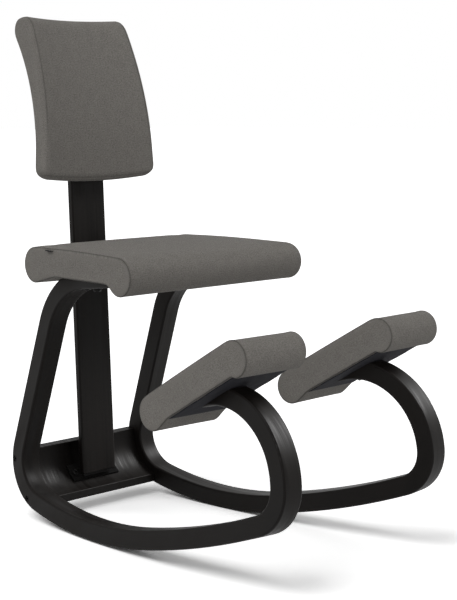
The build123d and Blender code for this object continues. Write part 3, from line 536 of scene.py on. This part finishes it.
def dust_sheet(name, node, width, rear_width, length, matrix):
    """Return the cloth stretched under a board, a little rippled between its fixings."""
    across, along = ceil(width / MESH_STEP), ceil(length / MESH_STEP)
    rings, uvs, seams = [], [], []
    for row in range(along + 1):
        v = row / along
        wide = width + (rear_width - width) * v
        sway = RIPPLE_SWAY * sin(RIPPLE_SWAY_WAVES * pi * v)
        ring, uv = [], []
        for column in range(across + 1):
            u = column / across
            ripple = sin(RIPPLE_WAVES * pi * u + sway) * sqrt(sin(pi * v))
            ring.append(((u - 0.5) * wide, (v - 0.5) * length, -DUST_RIPPLE * ripple))
            uv.append((u * wide, v * length))
        rings.append(ring)
        uvs.append(uv)
        seams.append([0.0] * len(ring))
    sheet = new_piece(name, rings, uvs, seams, caps=False, closed=False)
    settle(sheet, node, matrix)
    thicken(sheet, DUST_CLOTH)
    return sheet


def seam_tag(name, turn):
    """Return a folded ribbon with its cut ends in the seam, turned with the seat's side."""
    fold = [(0.0, TAG_FOLD)]
    for step in range(TAG_FOLD_STEPS + 1):
        angle = pi / 2 + pi * step / TAG_FOLD_STEPS
        fold.append((-TAG_DEPTH + TAG_FOLD + TAG_FOLD * cos(angle), TAG_FOLD * sin(angle)))
    fold.append((0.0, -TAG_FOLD))
    runs = run_lengths(fold)
    rings, uvs, seams = [], [], []
    for row in range(TAG_ROWS + 1):
        share = row / TAG_ROWS
        curl = TAG_CURL * sin(pi * share) - TAG_DROOP
        rings.append([(x, (share - 0.5) * TAG_LENGTH, z + curl * x / TAG_DEPTH) for x, z in fold])
        uvs.append([(share * TAG_LENGTH, run) for run in runs])
        seams.append([0.0] * len(fold))
    tag = new_piece(name, rings, uvs, seams, caps=False, closed=False)
    settle(tag, "seat_seam_tag", Matrix.Rotation(turn, 4, "Z"))
    thicken(tag, TAG_CLOTH)
    return tag


# Shader helpers

# Places of the colour sockets of a mix node
MIX_FIRST = 6
MIX_SECOND = 7
MIX_RESULT = 2


def add_node(tree, kind, inputs=(), **settings):
    """Add a shader node, set its settings, and fill its inputs with values or other nodes' outputs."""
    node = tree.nodes.new(kind)
    for name, value in settings.items():
        setattr(node, name, value)
    for name, value in dict(inputs).items():
        if isinstance(value, bpy.types.NodeSocket):
            tree.links.new(value, node.inputs[name])
        else:
            node.inputs[name].default_value = value
    return node


def math_node(tree, operation, first, second=0.0):
    """Add a math node and return its output."""
    return add_node(tree, "ShaderNodeMath", {0: first, 1: second}, operation=operation).outputs[0]


def blend(tree, first, second, share):
    """Return the sum of a share of one value and the rest of another."""
    return math_node(tree, "ADD", math_node(tree, "MULTIPLY", first, share),
                     math_node(tree, "MULTIPLY", second, 1 - share))


def new_material(name, **surface):
    """Return a new material, its node tree and its shader with constant values set."""
    material = bpy.data.materials.new(name)
    material.use_nodes = True
    tree = material.node_tree
    shader = tree.nodes["Principled BSDF"]
    for key, value in surface.items():
        shader.inputs[key.replace("_", " ")].default_value = value
    return material, tree, shader


def two_tone(tree, factor, dark, light, low=0.0, high=1.0):
    """Return a colour that goes from dark to light as a factor goes from low to high."""
    ramp = add_node(tree, "ShaderNodeValToRGB", {"Fac": factor})
    first, last = ramp.color_ramp.elements
    first.color = (*dark, 1)
    last.color = (*light, 1)
    first.position = low
    last.position = high
    return ramp.outputs["Color"]


def mixed(tree, factor, first, second):
    """Return a colour between two, by a factor."""
    inputs = {"Factor": factor, MIX_FIRST: first, MIX_SECOND: second}
    return add_node(tree, "ShaderNodeMix", inputs, data_type="RGBA").outputs[MIX_RESULT]


def object_place(tree):
    """Return the place on the object."""
    return add_node(tree, "ShaderNodeTexCoord").outputs["Object"]


def noise(tree, vector, scale, detail=3.0, roughness=0.55):
    """Return a noise node's value over a vector."""
    inputs = {"Vector": vector, "Scale": scale, "Detail": detail, "Roughness": roughness}
    return add_node(tree, "ShaderNodeTexNoise", inputs).outputs["Fac"]


def stretched(tree, vector, scale):
    """Return a vector scaled along each axis."""
    return add_node(tree, "ShaderNodeVectorMath", {0: vector, 1: scale}, operation="MULTIPLY").outputs[0]


def ranged(tree, value, low, high, first=0.0, last=1.0):
    """Return a value that goes from low to high as another goes from first to last."""
    inputs = {"Value": value, "From Min": first, "From Max": last, "To Min": low, "To Max": high}
    return add_node(tree, "ShaderNodeMapRange", inputs).outputs["Result"]


def set_bump(tree, shader, height, strength, distance):
    """Give a shader a bump from a height."""
    bump = add_node(tree, "ShaderNodeBump", {"Height": height, "Strength": strength, "Distance": distance})
    tree.links.new(bump.outputs["Normal"], shader.inputs["Normal"])


def seen_directly(tree):
    """Return 1 for rays that show something, also by reflection or refraction, and 0 for other light."""
    path = add_node(tree, "ShaderNodeLightPath")
    seen = math_node(tree, "MAXIMUM", path.outputs["Is Camera Ray"], path.outputs["Is Glossy Ray"])
    return math_node(tree, "MAXIMUM", seen, path.outputs["Is Transmission Ray"])


# Materials


def plain_weave(tree, uv, pitch):
    """Return the height of threads that cross over and under each other."""
    split = add_node(tree, "ShaderNodeSeparateXYZ", {"Vector": uv})
    warp = math_node(tree, "SINE", math_node(tree, "MULTIPLY", split.outputs["X"], pi / pitch))
    weft = math_node(tree, "SINE", math_node(tree, "MULTIPLY", split.outputs["Y"], pi / pitch))
    over = math_node(tree, "GREATER_THAN", math_node(tree, "MULTIPLY", warp, weft), 0.0)
    under = math_node(tree, "SUBTRACT", 1.0, over)
    warp_up = math_node(tree, "MULTIPLY", math_node(tree, "ABSOLUTE", warp), over)
    weft_up = math_node(tree, "MULTIPLY", math_node(tree, "ABSOLUTE", weft), under)
    return math_node(tree, "ADD", warp_up, weft_up)


def woven(name, dark, light, pitch, bump):
    """Return a plain-weave cloth with mottled yarn, and painted shade darkening its seams."""
    material, tree, shader = new_material(name, Roughness=0.92, Sheen_Weight=0.03, Sheen_Roughness=0.5,
                                          Specular_IOR_Level=0.12)
    uv = add_node(tree, "ShaderNodeUVMap", uv_map="cloth").outputs["UV"]
    weave = plain_weave(tree, uv, pitch)
    yarn = noise(tree, stretched(tree, uv, YARN_SCALE), 1.0, roughness=0.7)
    patch = noise(tree, stretched(tree, uv, PATCH_SCALE), 1.0)
    mottle = blend(tree, yarn, patch, YARN_SHARE)
    tone = blend(tree, mottle, weave, MOTTLE_SHARE)
    colour = two_tone(tree, tone, dark, light, low=0.36, high=0.70)
    seam = add_node(tree, "ShaderNodeAttribute", attribute_name="seam").outputs["Fac"]
    # Painted shade: the seam attribute darkens the cloth towards a share of its dark colour, for the groove's
    # shade
    painted_seam_colour = (*[part * SEAM_SHADE_COLOUR_SHARE for part in dark], 1)
    seam_shaded_colour = mixed(tree, math_node(tree, "MULTIPLY", seam, SEAM_PAINTED_SHADE), colour, painted_seam_colour)
    tree.links.new(seam_shaded_colour, shader.inputs["Base Color"])
    set_bump(tree, shader, weave, strength=bump, distance=0.0003)
    return material


def stained_wood(name, dark, light):
    """Return black-stained laminated wood, its grain running along the bent strips."""
    material, tree, shader = new_material(name, IOR=1.5, Specular_IOR_Level=LOW_SPECULAR)
    place = object_place(tree)
    fine = noise(tree, stretched(tree, place, FINE_GRAIN_SCALE), 1.0, detail=4.0)
    broad = noise(tree, stretched(tree, place, BROAD_GRAIN_SCALE), 1.0)
    grain = blend(tree, fine, broad, FINE_GRAIN_SHARE)
    tree.links.new(two_tone(tree, grain, dark, light, low=0.3, high=0.7), shader.inputs["Base Color"])
    rough = ranged(tree, grain, low=0.32, high=0.58, first=0.38, last=0.62)
    tree.links.new(rough, shader.inputs["Roughness"])
    set_bump(tree, shader, grain, strength=0.5, distance=0.0005)
    return material


def plywood(name, dark, light):
    """Return raw birch plywood with faint figure."""
    material, tree, shader = new_material(name, Roughness=0.6)
    grain = noise(tree, stretched(tree, object_place(tree), PLY_GRAIN_SCALE), 1.0, detail=4.0)
    tree.links.new(two_tone(tree, grain, dark, light), shader.inputs["Base Color"])
    set_bump(tree, shader, grain, strength=0.15, distance=0.0003)
    return material


def steel(name, dark, light, metallic, smooth, rough):
    """Return steel with fine scuffs in its finish."""
    material, tree, shader = new_material(name, Metallic=metallic, Specular_IOR_Level=LOW_SPECULAR)
    scuff = noise(tree, object_place(tree), SCUFF_SCALE, detail=4.0)
    tree.links.new(two_tone(tree, scuff, dark, light), shader.inputs["Base Color"])
    tree.links.new(ranged(tree, scuff, low=smooth, high=rough), shader.inputs["Roughness"])
    set_bump(tree, shader, scuff, strength=0.08, distance=0.0001)
    return material


def felt(name, dark, light):
    """Return thin felted cloth."""
    material, tree, shader = new_material(name, Roughness=0.9, Specular_IOR_Level=0.1)
    fibre = noise(tree, object_place(tree), FIBRE_SCALE, detail=5.0, roughness=0.7)
    tree.links.new(two_tone(tree, fibre, dark, light), shader.inputs["Base Color"])
    set_bump(tree, shader, fibre, strength=0.2, distance=0.0003)
    return material


def make_finishes():
    """Return a material for each slot of the record."""
    return {
        "grey_fabric": woven("grey_weave", dark=(0.092, 0.0865, 0.079), light=(0.218, 0.206, 0.189),
                             pitch=0.0011, bump=0.35),
        "stained_wood": stained_wood("black_stained_wood", dark=(0.0026, 0.0020, 0.0017),
                                     light=(0.0070, 0.0057, 0.0049)),
        "plywood": plywood("birch_plywood", dark=(0.42, 0.29, 0.17), light=(0.62, 0.47, 0.31)),
        "dust_cloth": felt("dust_felt", dark=(0.010, 0.010, 0.0125), light=(0.019, 0.019, 0.023)),
        "tag_cloth": woven("tag_weave", dark=(0.006, 0.006, 0.0065), light=(0.014, 0.014, 0.015),
                           pitch=0.0006, bump=0.3),
        "black_steel": steel("black_oxide", dark=(0.003, 0.0028, 0.0027), light=(0.007, 0.0065, 0.0062),
                             metallic=0.0, smooth=0.34, rough=0.5),
        "zinc_steel": steel("zinc_plate", dark=(0.5, 0.5, 0.5), light=(0.66, 0.66, 0.65),
                            metallic=1.0, smooth=0.3, rough=0.45),
    }


# Stage


def add_floor():
    """Add a pale floor that the camera sees as white where no shadow falls."""
    bpy.ops.mesh.primitive_plane_add(size=FLOOR_SIZE)
    floor = bpy.context.object
    floor.name = "floor"
    material, tree, shader = new_material("floor_paint", Roughness=0.9, Specular_IOR_Level=0.0)
    mottle = noise(tree, object_place(tree), FLOOR_SCALE)
    tint = two_tone(tree, mottle, dark=(0.79, 0.79, 0.79), light=(0.81, 0.81, 0.81))
    paint = mixed(tree, seen_directly(tree), tint, (FLOOR_SEEN, FLOOR_SEEN, FLOOR_SEEN, 1))
    tree.links.new(paint, shader.inputs["Base Color"])
    floor.data.materials.append(material)


def set_world():
    """Light the stage evenly, with white behind it."""
    world = bpy.data.worlds.new("studio")
    bpy.context.scene.world = world
    world.use_nodes = True
    tree = world.node_tree
    backdrop = tree.nodes["Background"]
    backdrop.inputs["Color"].default_value = (1, 1, 1, 1)
    strength = ranged(tree, seen_directly(tree), low=SKY_LEVEL, high=BACKDROP_LEVEL)
    tree.links.new(strength, backdrop.inputs["Strength"])


def add_sun(name, lamp):
    """Add a soft, far lamp that shines from a direction."""
    light = bpy.data.lights.new(name, "SUN")
    light.energy = lamp.strength
    light.angle = radians(lamp.spread)
    sun = bpy.data.objects.new(name, light)
    sun.rotation_euler = Vector(lamp.direction).to_track_quat("Z", "Y").to_euler()
    bpy.context.scene.collection.objects.link(sun)
    return sun


def gathered(name, objects):
    """Return a collection of objects for a lamp to light or to be blocked by."""
    group = bpy.data.collections.new(name)
    for item in objects:
        group.objects.link(item)
    return group


def add_lamps():
    """Add an overhead lamp that only wood blocks, a broad one not for wood or floor, and two for wood."""
    wood = [frame["nodes"][part["node"]] for part in frame["record"]["subparts"]
            if part["material_slot"] == "stained_wood"]
    others = [item for item in bpy.data.objects
              if item.type == "MESH" and item not in wood and item.name != "floor"]
    top = add_sun("top", TOP_LAMP)
    top.light_linking.blocker_collection = gathered("top_blockers", wood)
    broad = add_sun("broad", BROAD_LAMP)
    broad.light_linking.receiver_collection = gathered("broad_lit", others)
    side = add_sun("side", SIDE_LAMP)
    side.light_linking.receiver_collection = gathered("side_lit", wood)
    gloss = add_sun("gloss", GLOSS_LAMP)
    gloss.light_linking.receiver_collection = gathered("gloss_lit", wood)


def add_camera():
    """Set the camera where the photograph was taken from."""
    data = bpy.data.cameras.new("camera")
    data.sensor_width = CAMERA_SENSOR
    data.lens = CAMERA_LENS
    camera = bpy.data.objects.new("camera", data)
    camera.location = CAMERA_PLACE
    camera.rotation_euler = (radians(90 - CAMERA_PITCH), 0, radians(CAMERA_YAW))
    bpy.context.scene.collection.objects.link(camera)
    bpy.context.scene.camera = camera


# Dressing the frame


def pad_matrix(side):
    """Return the turn from a knee pad's own axes to its slope and splay."""
    slope = Matrix.Rotation(radians(-PAD_SLOPE), 4, "X")
    splay = Matrix.Rotation(radians(side * PAD_SPLAY), 4, "Z")
    return splay @ slope


def dress(piece, node, finishes, slot):
    """Let a piece stand for a node, ride on the chair and wear its slot's material."""
    piece.data.materials.clear()
    piece.data.materials.append(finishes[slot])
    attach(piece, "root")
    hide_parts(node)


def paint_nodes(finishes):
    """Give each node of the frame its slot's material."""
    for part in frame["record"]["subparts"]:
        for place in frame["nodes"][part["node"]].material_slots:
            place.material = finishes[part["material_slot"]]


def add_cushions(finishes):
    """Make, fill and dress the seat, the knee pads and the back pad."""
    seat, sewn = rolled_cushion("seat_upholstery", SEAT_REAR, SEAT_FRONT, SEAT_WIDTH,
                                SEAT_NARROWING, SEAT_CROWN)
    settle(seat, "seat_cushion", Matrix.Identity(4))
    cushions = [(seat, sewn, "seat_cushion")]
    for side, hand in PAD_HANDS:
        node = "knee_pad_cushion_" + hand
        pad, sewn = rolled_cushion("knee_pad_upholstery_" + hand, PAD_REAR, PAD_FRONT, PAD_WIDTH,
                                   PAD_NARROWING, PAD_CROWN)
        settle(pad, node, pad_matrix(side))
        cushions.append((pad, sewn, node))
    back, sewn = back_pad("back_upholstery")
    cushions.append((back, sewn, "back_cushion"))
    for piece, sewn, node in cushions:
        fill(piece, sewn)
        add_subdivision(piece)
        dress(piece, node, finishes, "grey_fabric")


def add_thin_cloth(finishes):
    """Make and dress the dust cloths under the seat and the knee pads, and the tag in the seat's seam."""
    node = "seat_dust_cover"
    low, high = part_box(node)
    width, length = high[0] - low[0], high[1] - low[1]
    rear_width = width - 2 * SEAT_NARROWING * length
    sheet = dust_sheet("seat_dust_cloth", node, width, rear_width, length, Matrix.Identity(4))
    dress(sheet, node, finishes, "dust_cloth")
    width, length = PAD_WIDTH - 2 * PAD_CLOTH_MARGIN, PAD_FRONT.flat - PAD_REAR.flat
    for side, hand in PAD_HANDS:
        node = "knee_pad_dust_cover_" + hand
        sheet = dust_sheet("knee_pad_dust_cloth_" + hand, node, width, width, length, pad_matrix(side))
        dress(sheet, node, finishes, "dust_cloth")
    tag = seam_tag("seam_ribbon", -atan2(SEAT_NARROWING, 1))
    dress(tag, "seat_seam_tag", finishes, "tag_cloth")


def main():
    """Dress every node and set the stage."""
    finishes = make_finishes()
    paint_nodes(finishes)
    add_cushions(finishes)
    add_thin_cloth(finishes)
    add_floor()
    set_world()
    add_lamps()
    add_camera()
    bpy.context.scene.view_settings.view_transform = "Standard"


main()
